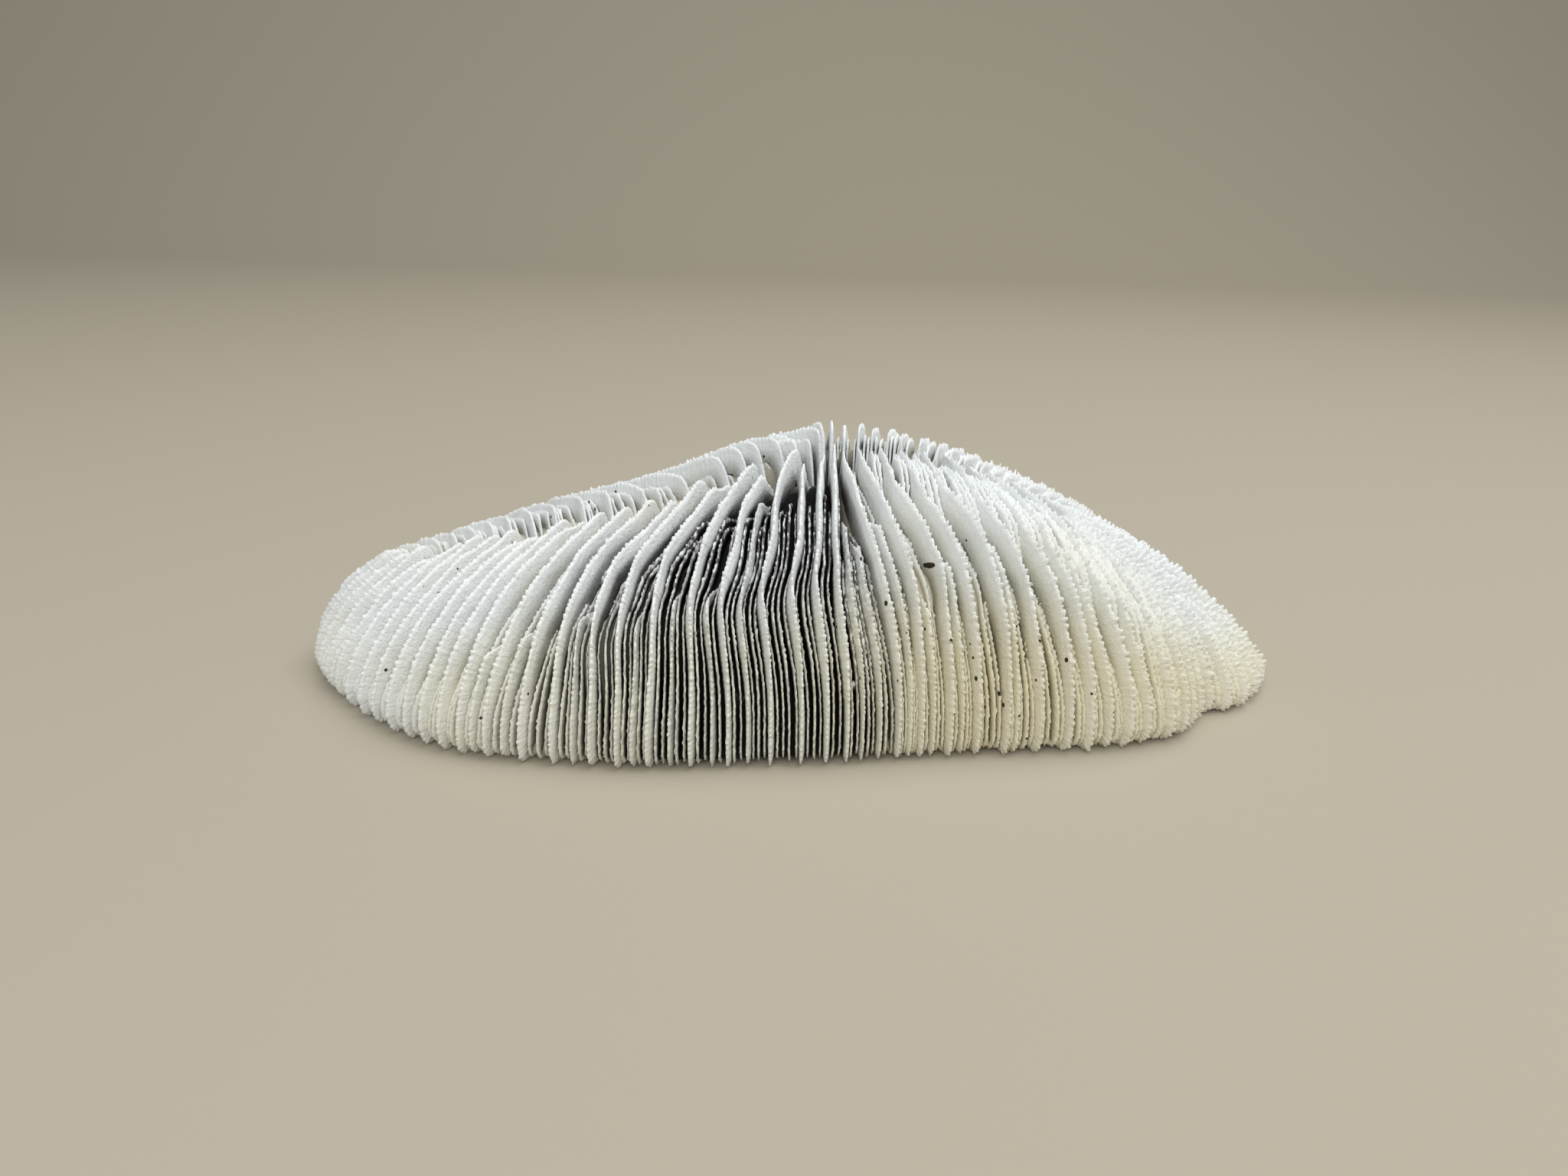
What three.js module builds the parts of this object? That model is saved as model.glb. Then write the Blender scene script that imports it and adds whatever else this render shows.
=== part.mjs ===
// The bleached skeleton of a mushroom coral: one long, strongly arched stony disc that lived loose on the sea bed.
// Thin upright plates, the septa, stand side by side all over the top. They start in a furrow along the crest,
// deepest at the mouth, and fan out and down to the rim. The underside is a hollow vault with low ribs,
// and the disc rests on the underside of its rim.
// It grew as one piece, so it is one solid: +X along its length, -Y its front, +Z up,
// with its origin under the middle of its box.
import * as THREE from "three";

// Driving dimensions, in millimetres.
const LENGTH = 195;
const WIDTH = 88;
const HEIGHT = 51;
const MAJOR_SEPTA = 108;
const SEPTUM_RELIEF = 4.6;
const TOOTH = 0.7;
const VAULT = 24;

// The rim seen from above, as shares of half the length and half the width, from the right tip round by the front.
// It bulges most left of the middle of the front, and has a small notch near the right tip.
const OUTLINE = [
  [1.0, 0.0], [0.91, -0.3], [0.83, -0.37], [0.74, -0.61], [0.57, -0.74], [0.3, -0.83],
  [0.0, -0.94], [-0.32, -1.0], [-0.64, -0.88], [-0.88, -0.46], [-1.0, 0.04],
  [-0.88, 0.52], [-0.56, 0.89], [-0.12, 1.0], [0.36, 0.9], [0.74, 0.6], [0.94, 0.25],
];
const SPLINE_TENSION = 0.5;
const OUTLINE_STEPS = 4000;

// The crest line from left to right, as shares of half the length and of the height.
// It climbs slowly from the left, then steeply up to the mouth, and falls away evenly to the right.
const CREST = [
  [-0.82, 0.47], [-0.615, 0.576], [-0.41, 0.682], [-0.256, 0.769], [-0.103, 0.902], [0, 0.965],
  [0.123, 0.99], [0.256, 0.937], [0.43, 0.804], [0.615, 0.651], [0.82, 0.431],
];
// The front half of the crest stands lower than the back half by this share.
const FRONT_DROP = 0.035;

// The furrow. Each septum's foot lies nearer the mouth than its outer end does, so that the septa fan out.
const MOUTH_X = 7.5;
const RIGHT_FOOT_SHARE = 0.6;
const LEFT_FOOT_SHARE = 0.66;
const LEFT_FOOT_GAIN = 0.11;
// Right of the mouth the feet crowd together over this distance, more in front than at the back.
const CROWD_REACH = 17;
const FRONT_CROWD = 0.8;
const BACK_CROWD = 0.25;
const FURROW_BEND = 1.5;
const FURROW_BEND_LENGTH = 58;
const FURROW_DEPTH = 5.5;
const MOUTH_DEPTH = 9;
const MOUTH_REACH = 14;
const FURROW_REACH = 3.8;
const FLOOR_HALF_WIDTH = 1.2;

// A septum's outline is a quarter of a superellipse from the crest to the rim, flatter towards the two tips.
const SIDE_ROUNDNESS = 2.0;
const RIGHT_FLATTENING = 0.72;
const LEFT_FLATTENING = 0.4;
const TIP_STARTS = 0.55;

// The rim: how high it is widest, how its lower edge comes in, and the flat band that it rests on.
const RIM_HEIGHT = 3.5;
const RIM_RELIEF = 2.6;
const LOWER_EDGE_INSET = 1.4;
const BAND_INSET = 8;

// The rows of points down a septum. Every second major septum starts lower down the inner wall of the furrow.
const INNER_ROWS = [FLOOR_HALF_WIDTH, 3.2, 5.6];
const LATE_START = 1.8;
const FLANK_ROWS = 14;
const VAULT_ROWS = [0.74, 0.42];
const VAULT_CENTRE = 3;
const RIB = 0.8;

const HALF_LENGTH = LENGTH / 2;
const HALF_WIDTH = WIDTH / 2;
const COLUMNS = 2 * MAJOR_SEPTA;

const smooth = (value, low, high) => THREE.MathUtils.smoothstep(value, low, high);

// The points of the rim at even steps along it, one for each septum and one for each gap between two.
function rimPoints() {
  const corners = OUTLINE.map(([along, across]) => new THREE.Vector3(along * HALF_LENGTH, across * HALF_WIDTH, 0));
  const curve = new THREE.CatmullRomCurve3(corners, true, "catmullrom", SPLINE_TENSION);
  curve.arcLengthDivisions = OUTLINE_STEPS;
  return curve.getSpacedPoints(COLUMNS).slice(0, COLUMNS);
}

// A smooth line through the points of the crest, which gives the height over any place along the furrow.
const crestLine = new THREE.CubicInterpolant(
  CREST.map(([along]) => along * HALF_LENGTH),
  CREST.map(([, up]) => up * HEIGHT),
  1,
);

// How far along the furrow the foot of a septum lies, from where its outer end lies along the coral.
function footPlace(rim) {
  const fromMouth = rim.x - MOUTH_X;
  if (fromMouth < 0) {
    return MOUTH_X + fromMouth * (LEFT_FOOT_SHARE + LEFT_FOOT_GAIN * (fromMouth / HALF_LENGTH) ** 2);
  }
  const crowd = rim.y < 0 ? FRONT_CROWD : BACK_CROWD;
  return MOUTH_X + fromMouth * RIGHT_FOOT_SHARE * (1 - crowd * Math.exp(-((fromMouth / CROWD_REACH) ** 2)));
}

// Everything that the septum ending at a rim point needs: its foot, its direction, its length and its height.
function septumAt(rim) {
  const footX = footPlace(rim);
  const foot = new THREE.Vector3(footX, FURROW_BEND * Math.sin(footX / FURROW_BEND_LENGTH), 0);
  const reach = rim.distanceTo(foot);
  const out = rim.clone().sub(foot).divideScalar(reach);
  const frontness = THREE.MathUtils.clamp((-2 * rim.y) / HALF_WIDTH, 0, 1);
  const along = rim.x / HALF_LENGTH;
  return {
    foot, out, reach,
    top: crestLine.evaluate(footX)[0] * (1 - FRONT_DROP * frontness),
    roundness: SIDE_ROUNDNESS - RIGHT_FLATTENING * smooth(along, TIP_STARTS, 1)
      - LEFT_FLATTENING * smooth(-along, TIP_STARTS, 1),
    dip: FURROW_DEPTH + MOUTH_DEPTH * Math.exp(-(((footX - MOUTH_X) / MOUTH_REACH) ** 2)),
  };
}

// A point of a septum at a distance from its foot, sunk below the plate's own edge by a depth square to it.
function septumPoint(septum, distance, depth) {
  const share = distance / septum.reach;
  const dome = (1 - share ** septum.roundness) ** (1 / septum.roundness);
  const edge = RIM_HEIGHT + (septum.top - RIM_HEIGHT) * dome
    - septum.dip * Math.exp(-((distance / FURROW_REACH) ** 2));
  const steepness = Math.hypot(share, dome);
  const point = septum.foot.clone().addScaledVector(septum.out, distance - (depth * share) / steepness);
  point.z = edge - (depth * dome) / steepness;
  return point;
}

// A point of the underside at a distance from the foot, with ribs under the septa.
function vaultPoint(septum, distance, isRidge) {
  const share = distance / (septum.reach - BAND_INSET);
  const point = septum.foot.clone().addScaledVector(septum.out, distance);
  const roof = VAULT * (septum.top / HEIGHT) * Math.sqrt(1 - share ** 2);
  point.z = roof - (isRidge ? RIB * (1 - share) : 0);
  return point;
}

// One column of the skin, from the floor of the furrow over the rim to the middle of the vault.
// Even columns run along a septum, with a notch at every second row, and odd ones along the gap between two.
function skinColumn(rim, column) {
  const septum = septumAt(rim);
  const isRidge = column % 2 === 0;
  const lateness = column % 4 === 2 ? LATE_START : 0;
  const points = INNER_ROWS.map((distance, row) => {
    const depth = isRidge ? lateness : SEPTUM_RELIEF;
    return septumPoint(septum, distance, (depth * row) / INNER_ROWS.length);
  });
  const start = Math.asin(INNER_ROWS[INNER_ROWS.length - 1] / septum.reach);
  for (let row = 1; row < FLANK_ROWS; row++) {
    const angle = THREE.MathUtils.lerp(start, Math.PI / 2, row / FLANK_ROWS);
    const notch = (row + column / 2) % 2 === 0 ? TOOTH : 0;
    const plateDepth = notch + lateness * (1 - Math.sin(angle));
    const gapDepth = THREE.MathUtils.lerp(SEPTUM_RELIEF, RIM_RELIEF, Math.sin(angle) ** 4);
    points.push(septumPoint(septum, septum.reach * Math.sin(angle), isRidge ? plateDepth : gapDepth));
  }
  const relief = isRidge ? 0 : RIM_RELIEF;
  const rimRows = [[relief, RIM_HEIGHT], [LOWER_EDGE_INSET + relief, 0], [BAND_INSET, 0]];
  for (const [inset, z] of rimRows) {
    const point = septum.foot.clone().addScaledVector(septum.out, septum.reach - inset);
    point.z = z;
    points.push(point);
  }
  for (const share of VAULT_ROWS) points.push(vaultPoint(septum, share * (septum.reach - BAND_INSET), isRidge));
  points.push(vaultPoint(septum, VAULT_CENTRE, false));
  return points;
}

// The closed skin: the columns side by side all the way round, and a strip over each end of the columns,
// which closes the floor of the furrow and the middle of the vault from front to back.
function skinGeometry() {
  const columns = rimPoints().map(skinColumn);
  const rows = columns[0].length;
  const at = (column, row) => (column % COLUMNS) * rows + row;
  const faces = [];
  for (let column = 0; column < COLUMNS; column++) {
    for (let row = 0; row < rows - 1; row++) {
      faces.push(at(column, row), at(column + 1, row), at(column + 1, row + 1));
      faces.push(at(column, row), at(column + 1, row + 1), at(column, row + 1));
    }
  }
  for (let column = 0; column < COLUMNS / 2; column++) {
    const across = COLUMNS - column;
    for (const row of [0, rows - 1]) {
      const quad = [at(column, row), at(column + 1, row), at(across - 1, row), at(across, row)];
      if (row === 0) quad.reverse();
      if (column < COLUMNS / 2 - 1) faces.push(quad[0], quad[1], quad[2]);
      if (column > 0) faces.push(quad[0], quad[2], quad[3]);
    }
  }
  const geometry = new THREE.BufferGeometry().setFromPoints(columns.flat());
  geometry.setIndex(faces);
  return geometry;
}

// The origin goes under the middle of the box, on the plane that the rim rests on.
function centred(geometry) {
  geometry.computeBoundingBox();
  const middle = geometry.boundingBox.getCenter(new THREE.Vector3());
  return geometry.translate(-middle.x, -middle.y, -geometry.boundingBox.min.z);
}

const bleachedAragonite = new THREE.MeshStandardMaterial({ color: 0xe6e4d8, roughness: 0.92, metalness: 0 });

const coral = new THREE.Mesh(centred(skinGeometry()), bleachedAragonite);
coral.name = "mushroom_coral";

const part = new THREE.Group();
part.add(coral);

export default part;
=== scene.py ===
"""Looks for the mushroom coral: thin toothed septa, the wall that carries them and the ribbed underside.

Lengths are in millimetres until a mesh is made, in the frame of the CAD part: +X along the coral, -Y its
front, +Z up. A place is how far round the rim a plate ends, from 0 at the right tip, by the front, to SEPTA.
A share is how far a point of a plate lies on its way from the furrow, 0, to the rim, 1.
"""

import math

import bpy
import numpy as np
from mathutils import Matrix, Vector


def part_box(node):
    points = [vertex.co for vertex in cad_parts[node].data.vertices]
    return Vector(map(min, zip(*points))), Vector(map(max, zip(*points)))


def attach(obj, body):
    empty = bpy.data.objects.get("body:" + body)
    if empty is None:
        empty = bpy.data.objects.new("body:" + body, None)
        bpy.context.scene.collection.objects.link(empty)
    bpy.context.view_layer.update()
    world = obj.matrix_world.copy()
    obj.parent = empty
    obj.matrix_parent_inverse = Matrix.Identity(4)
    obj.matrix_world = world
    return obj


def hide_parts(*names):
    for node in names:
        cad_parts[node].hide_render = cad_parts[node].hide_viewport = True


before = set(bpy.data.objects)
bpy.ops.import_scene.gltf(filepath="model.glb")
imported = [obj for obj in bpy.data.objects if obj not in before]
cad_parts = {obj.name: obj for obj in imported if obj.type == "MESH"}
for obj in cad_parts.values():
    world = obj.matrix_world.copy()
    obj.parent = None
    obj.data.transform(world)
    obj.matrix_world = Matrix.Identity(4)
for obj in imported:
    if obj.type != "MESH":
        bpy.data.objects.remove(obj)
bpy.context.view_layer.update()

MM = 0.001
SEED = 11

# The envelope, with the same driving dimensions as the CAD part.
HALF_LENGTH = 97.5
HALF_WIDTH = 44.0
HEIGHT = 51.0
OUTLINE = [
    (1.0, 0.0), (0.91, -0.3), (0.83, -0.37), (0.74, -0.61), (0.57, -0.74), (0.3, -0.83),
    (0.0, -0.94), (-0.32, -1.0), (-0.64, -0.88), (-0.88, -0.46), (-1.0, 0.04),
    (-0.88, 0.52), (-0.56, 0.89), (-0.12, 1.0), (0.36, 0.9), (0.74, 0.6), (0.94, 0.25),
]
OUTLINE_SAMPLES = 400
CREST = [
    (-0.82, 0.47), (-0.615, 0.576), (-0.41, 0.682), (-0.256, 0.769), (-0.103, 0.902), (0.0, 0.965),
    (0.123, 0.99), (0.256, 0.937), (0.43, 0.804), (0.615, 0.651), (0.82, 0.431),
]
FRONT_DROP = 0.035
MOUTH_X = 7.5
RIGHT_FOOT_SHARE = 0.6
LEFT_FOOT_SHARE = 0.66
LEFT_FOOT_GAIN = 0.11
CROWD_REACH = 17.0
FRONT_CROWD = 0.8
BACK_CROWD = 0.25
FURROW_BEND = 1.5
FURROW_BEND_LENGTH = 58.0
FURROW_DEPTH = 5.5
MOUTH_DEPTH = 9.0
MOUTH_REACH = 14.0
SIDE_ROUNDNESS = 2.0
RIGHT_FLATTENING = 0.72
LEFT_FLATTENING = 0.4
TIP_STARTS = 0.55
RIM_HEIGHT = 3.5
BAND_INSET = 8.0
VAULT = 24.0

# The furrow's half width. It is narrower at the mouth, and between two places right of the mouth it closes up.
FURROW_REACH = 3.6
MOUTH_NARROWING = 0.3
CLOSES_OVER = (13.0, 30.0)
CLOSED_DEPTH = 0.85
CLOSED_WIDTH = 0.5

# Each plate's line: rows up the inner wall of the furrow and over the crest, down the flank, round the nose at
# the rim, and inward under it. The first rows start and end at these distances from the middle of the furrow.
SEPTA = 432
FOOT_START = 1.0
LOBE_REACH = 9.0
FURROW_ROWS = 40
FLANK_ROWS = 90
NOSE_ROWS = 16
RIB_ROWS = 12
NOSE_INSET = 2.4
RIB_END_HEIGHT = 1.0
# Tall plates rise or fall a little at the crest, in a lobe at this distance from the furrow.
LOBE_PLACE = 6.5
LOBE_WIDTH = 3.0

# Depths below the envelope of the wall that the plates stand on: at the crest in front and at the back, at the
# rim, under the nose and at the ribs' ends, and how much deeper it is at the mouth.
CREST_DEPTH = 6.2
BACK_CREST_DEPTH = 4.4
RIM_DEPTH = 3.4
NOSE_DEPTH = 1.5
RIB_DEPTH = 0.6
PIT_DEPTH = 5.0
# Plates reach this far into the wall.
EMBED = 0.5


def smoothstep(value, low, high):
    t = np.clip((value - low) / (high - low), 0.0, 1.0)
    return t * t * (3.0 - 2.0 * t)


def mix(a, b, t):
    return a + (b - a) * t


def hill(value, rise, full, fall, end):
    """0 outside rise to end, 1 from full to fall, and smooth between."""
    return smoothstep(value, rise, full) * (1 - smoothstep(value, fall, end))


def spline(points, samples):
    """A closed curve through the points, as samples for each of its spans."""
    spans = []
    t = np.linspace(0.0, 1.0, samples, endpoint=False)[:, None]
    count = len(points)
    for i in range(count):
        p0, p1, p2, p3 = points[i - 1], points[i], points[(i + 1) % count], points[(i + 2) % count]
        spans.append(0.5 * (2 * p1 + (p2 - p0) * t + (2 * p0 - 5 * p1 + 4 * p2 - p3) * t ** 2
                            + (3 * p1 - p0 - 3 * p2 + p3) * t ** 3))
    return np.concatenate(spans)


def smooth_line(xs, ys, x):
    """A smooth line through the given points, read at x."""
    xs, ys = np.asarray(xs, float), np.asarray(ys, float)
    slopes = np.gradient(ys, xs)
    i = np.clip(np.searchsorted(xs, x) - 1, 0, len(xs) - 2)
    step = xs[i + 1] - xs[i]
    t = (x - xs[i]) / step
    return ((2 * t ** 3 - 3 * t ** 2 + 1) * ys[i] + (t ** 3 - 2 * t ** 2 + t) * step * slopes[i]
            + (3 * t ** 2 - 2 * t ** 3) * ys[i + 1] + (t ** 3 - t ** 2) * step * slopes[i + 1])


class Noise:
    """Smooth repeatable noise between -1 and 1 over a lattice, wrapping round its first axis."""

    def __init__(self, rng, *shape):
        self.table = rng.uniform(-1.0, 1.0, shape)

    def cells(self, row, x):
        """One row, read at x in cells."""
        values = self.table[row]
        x = np.clip(np.asarray(x, float), 0.0, len(values) - 1.001)
        i = x.astype(int)
        t = smoothstep(x - i, 0.0, 1.0)
        return mix(values[i], values[i + 1], t)

    def line(self, row, share):
        """One row, read from its start at share 0 to its end at share 1."""
        return self.cells(row, share * (self.table.shape[1] - 1.1))

    def field(self, place, share):
        """The lattice, read at a place round the rim and a share of the way."""
        rows = len(self.table)
        u = (place * rows / SEPTA) % rows
        i = int(u)
        return mix(self.line(i, share), self.line((i + 1) % rows, share), smoothstep(u - i, 0.0, 1.0))


RIM_DENSE = spline(np.array(OUTLINE) * [HALF_LENGTH, HALF_WIDTH], OUTLINE_SAMPLES)
RIM_CLOSED = np.vstack([RIM_DENSE, RIM_DENSE[:1]])
RIM_ARC = np.concatenate([[0.0], np.cumsum(np.linalg.norm(np.diff(RIM_CLOSED, axis=0), axis=1))])


def septa_at(places):
    """Foot, direction, reach, height and so on of the plates that end at these places round the rim."""
    s = ((np.asarray(places, float) / SEPTA) % 1.0) * RIM_ARC[-1]
    rim = np.stack([np.interp(s, RIM_ARC, RIM_CLOSED[:, 0]), np.interp(s, RIM_ARC, RIM_CLOSED[:, 1])], 1)
    from_mouth = rim[:, 0] - MOUTH_X
    left = LEFT_FOOT_SHARE + LEFT_FOOT_GAIN * (from_mouth / HALF_LENGTH) ** 2
    crowd = np.where(rim[:, 1] < 0, FRONT_CROWD, BACK_CROWD)
    right = RIGHT_FOOT_SHARE * (1 - crowd * np.exp(-(from_mouth / CROWD_REACH) ** 2))
    foot_x = MOUTH_X + from_mouth * np.where(from_mouth < 0, left, right)
    foot = np.stack([foot_x, FURROW_BEND * np.sin(foot_x / FURROW_BEND_LENGTH)], 1)
    reach = np.linalg.norm(rim - foot, axis=1)
    front = np.clip(-2 * rim[:, 1] / HALF_WIDTH, 0.0, 1.0)
    along = rim[:, 0] / HALF_LENGTH
    crest = smooth_line([a * HALF_LENGTH for a, _ in CREST], [h * HEIGHT for _, h in CREST], foot_x)
    closed = smoothstep(foot_x, *CLOSES_OVER)
    near_mouth = np.exp(-((foot_x - MOUTH_X) / MOUTH_REACH) ** 2)
    return {
        "rim": rim,
        "foot": foot,
        "reach": reach,
        "out": (rim - foot) / reach[:, None],
        "top": crest * (1 - FRONT_DROP * front * (1 - closed)),
        "roundness": SIDE_ROUNDNESS - RIGHT_FLATTENING * smoothstep(along, TIP_STARTS, 1.0)
        - LEFT_FLATTENING * smoothstep(-along, TIP_STARTS, 1.0),
        "dip": FURROW_DEPTH * (1 - CLOSED_DEPTH * closed) + MOUTH_DEPTH * near_mouth,
        "furrow": FURROW_REACH * (1 - CLOSED_WIDTH * closed) * (1 - MOUTH_NARROWING * near_mouth),
    }


# Seen from above, plates bend away from a straight line. For each bend: how many places it is, the span of
# places that has it, the shares between which it fades, and whether it is at the rim or at the crest. At the
# middle of the front the outer ends turn right, and towards the crest plates on both sides lean to the mouth.
BENDS = [
    {"turn": -2.6, "span": (82.0, 92.0, 141.0, 158.0), "fades": (0.72, 1.0), "at_rim": True},
    {"turn": -2.3, "span": (110.0, 120.0, 140.0, 158.0), "fades": (0.3, 0.6), "at_rim": False},
    {"turn": 3.8, "span": (50.0, 70.0, 89.0, 101.0), "fades": (0.3, 0.75), "at_rim": False},
    {"turn": 15.0, "span": (262.0, 290.0, 312.0, 330.0), "fades": (0.02, 0.55), "at_rim": False},
]
# Left of the mouth the plates' feet are drawn to it, over this span of distances from it.
MOUTH_PULL = 3.4
MOUTH_PULL_REACH = 7.0
MOUTH_PULL_SPAN = (0.0, 9.0, 18.0, 45.0)


def bend(place, share):
    """How many places a plate is bent to the side, at each share of its way."""
    total = 0.0
    for one in BENDS:
        outward = smoothstep(share, *one["fades"])
        total = total + one["turn"] * hill(place, *one["span"]) * (outward if one["at_rim"] else 1 - outward)
    return total


def path(places, share):
    """Where plates run: their values, and each point's distance from the furrow, plan, height and dome."""
    at = septa_at(places)
    r = share * at["reach"]
    plan = at["foot"] + at["out"] * r[:, None]
    pull = MOUTH_PULL * hill(MOUTH_X - at["foot"][:, 0], *MOUTH_PULL_SPAN)
    plan[:, 0] += pull * np.exp(-(r / MOUTH_PULL_REACH) ** 2)
    dome = (1 - np.clip(share, 0, 1) ** at["roundness"]) ** (1 / at["roundness"])
    dip = at["dip"] * np.exp(-(r / at["furrow"]) ** 3)
    return at, r, plan, RIM_HEIGHT + (at["top"] - RIM_HEIGHT) * dome - dip, dome


# The pit at the mouth, deeper and painted dark as shade and grime, ends between these distances from the
# middle of the furrow.
PIT_ENDS = (2.0, 8.0)
# It is this much narrower than that for the wall's depth, wider for its colour, and narrower on the plates.
PIT_SHAPE_INSET = 1.0
PIT_WALL_INSET = -1.0
PIT_PLATE_INSET = 3.5


def pit(x, r):
    """1 in the floor of the furrow at the mouth, which is painted dark as shade and grime, 0 elsewhere."""
    return np.exp(-((x - MOUTH_X) / MOUTH_REACH) ** 2) * (1 - smoothstep(r, *PIT_ENDS))


def line_of(place, sway, nose_bottom=0.0, lobe=0.0):
    """The line of one plate from the furrow to the end of its rib, as its points and their values."""
    reach = septa_at([place])["reach"][0]
    begin = math.asin(LOBE_REACH / reach)
    share = np.concatenate([
        np.linspace(FOOT_START / reach, LOBE_REACH / reach, FURROW_ROWS, endpoint=False),
        np.sin(np.linspace(begin, math.pi / 2, FLANK_ROWS))])
    at, r, plan, height, dome = path(place + bend(place, share) + sway(share), share)
    height = height + lobe * np.exp(-((r - LOBE_PLACE) / LOBE_WIDTH) ** 2)
    crest_depth = np.where(at["rim"][:, 1] < 0, CREST_DEPTH, BACK_CREST_DEPTH)
    depth = mix(RIM_DEPTH, crest_depth, dome ** 0.8) * mix(0.9, 1.0, smoothstep(r, FOOT_START, LOBE_PLACE))
    depth = depth + PIT_DEPTH * pit(plan[:, 0], r + PIT_SHAPE_INSET)
    count = len(share)

    turn = np.linspace(0, math.pi / 2, NOSE_ROWS + 1)[1:]
    part = np.linspace(0, 1, RIB_ROWS + 1)[1:]
    inset = np.concatenate([NOSE_INSET * (1 - np.cos(turn)), mix(NOSE_INSET, BAND_INSET, part)])
    rim_plan, rim_out = plan[-1], at["out"][-1]
    plan = np.concatenate([plan, rim_plan - rim_out * inset[:, None]])
    nose_height = nose_bottom + (RIM_HEIGHT - nose_bottom) * (1 - np.sin(turn))
    height = np.concatenate([height, nose_height, mix(nose_bottom, RIB_END_HEIGHT, part ** 1.5)])
    depth = np.concatenate([depth, mix(RIM_DEPTH, NOSE_DEPTH, np.sin(turn)), mix(NOSE_DEPTH, RIB_DEPTH, part)])
    share = np.concatenate([share, 1 - inset / at["reach"][-1]])
    r = np.concatenate([r, at["reach"][-1] - inset])

    along = np.gradient(plan[:count], axis=0)
    along /= np.linalg.norm(along, axis=1)[:, None]
    along = np.concatenate([along, np.tile(rim_out, (len(inset), 1))])
    normal_r, normal_z = normals_of(plan[:count], height, inset)
    climb = np.hypot(np.linalg.norm(np.diff(plan, axis=0), axis=1), np.diff(height))
    arc = np.concatenate([[0.0], np.cumsum(climb)])
    return {"x": plan[:, 0], "y": plan[:, 1], "z": height, "tx": along[:, 0], "ty": along[:, 1],
            "nr": normal_r, "nz": normal_z, "depth": depth, "share": share, "r": r, "arc": arc,
            "flank": count, "rim_arc": arc[count - 1], "nose_arc": arc[count - 1 + NOSE_ROWS]}


def normals_of(top_plan, height, inset):
    """The direction away from the coral along a plate's line, outward and upward, never inward at the top."""
    count = len(top_plan)
    step = np.concatenate([np.linalg.norm(np.diff(top_plan, axis=0), axis=1), -np.diff(inset, prepend=0.0)])
    step = np.insert(step, 0, step[0])
    run = np.concatenate([(step[:-1] + step[1:]) / 2, step[-1:]])
    rise = np.gradient(height)
    size = np.hypot(run, rise)
    normal_r, normal_z = -rise / size, run / size
    normal_r[:count] = np.maximum(normal_r[:count], 0.0)
    normal_z[:count] = np.sqrt(1 - normal_r[:count] ** 2)
    return normal_r, normal_z


def read(line, arc):
    """The line's points and their values at the given distances along it."""
    names = ("x", "y", "z", "tx", "ty", "nr", "nz", "depth", "share", "r")
    return {name: np.interp(arc, line["arc"], line[name]) for name in names}


# How each order differs: thickness, how far its edge lies below the envelope on the flank and at the rim, the
# spacing and height of its teeth, the rings of points for each tooth, the height of its end at the rim, how
# wide its own waves are, its dust and its creaminess. The first two orders are tall, the other two thin.
ORDERS = [
    {"thick": 1.15, "drop": 0.0, "rim_drop": 0.0, "pitch": 1.2, "tooth": 0.7, "rings": 3,
     "nose": 0.0, "own": 0.32, "dust": 0.0, "cream": 0.0},
    {"thick": 0.92, "drop": 1.3, "rim_drop": 0.25, "pitch": 1.15, "tooth": 0.62, "rings": 3,
     "nose": 0.3, "own": 0.28, "dust": 0.35, "cream": 0.04},
    {"thick": 0.48, "drop": 3.0, "rim_drop": 0.7, "pitch": 1.2, "tooth": 0.45, "rings": 2,
     "nose": 0.6, "own": 0.16, "dust": 1.0, "cream": 0.12},
    {"thick": 0.4, "drop": 3.6, "rim_drop": 1.1, "pitch": 1.15, "tooth": 0.4, "rings": 2,
     "nose": 0.9, "own": 0.12, "dust": 1.0, "cream": 0.16},
]
# For so many rings a tooth: where they lie along it, and how far up it they are.
TOOTH_SHAPES = {
    3: ([0.0, 0.3, 0.68], [0.0, 1.0, 0.75]),
    2: ([0.0, 0.5], [0.0, 1.0]),
}
# A plate that comes up part of the way down rises from the wall over this distance.
RISE = 6.0

# The plates that stand out at the front: their places, and the share where each comes up. Round the rest of
# the rim they are spaced by chance, and some of the wider gaps between them get one that comes up late.
FRONT_PLATES = [
    (43.5, 0.3), (47.3, 0.0), (51.0, 0.5), (54.2, 0.0), (58.0, 0.0), (63.5, 0.0), (67.2, 0.55), (69.1, 0.0),
    (74.3, 0.0), (77.0, 0.65), (78.9, 0.0), (82.0, 0.8), (84.3, 0.0), (87.2, 0.5), (90.3, 0.0), (93.6, 0.6),
    (96.6, 0.5), (99.3, 0.0), (102.7, 0.0), (106.7, 0.12), (112.0, 0.0), (115.8, 0.32), (119.1, 0.15),
    (121.6, 0.72), (124.7, 0.0), (127.9, 0.7), (131.3, 0.0), (134.0, 0.75), (136.7, 0.0), (141.0, 0.1),
    (144.0, 0.7), (146.8, 0.0), (151.1, 0.0), (153.6, 0.75), (156.0, 0.0), (158.4, 0.8), (160.4, 0.0),
    (164.2, 0.0), (167.9, 0.0),
]
TALL_SPACING = (3.7, 5.6)
WIDE_GAP = 4.6
LATE_CHANCE = 0.5
LATE_PLACE = (0.45, 0.55)
LATE_START = (0.5, 0.8)
LAST_GAP = 6.0
# A plate that comes up later than this is of the second order.
FIRST_ORDER_STARTS = 0.25
# The orders of the thin plates in a gap between two tall ones, by how many it holds, and their spacing.
MINORS = {1: [2], 2: [3, 2], 3: [3, 2, 3], 4: [3, 2, 3, 3], 5: [3, 2, 3, 2, 3], 6: [3, 2, 3, 3, 2, 3]}
MINOR_SPACING = 1.04
MINOR_SPREAD = 0.1

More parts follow.
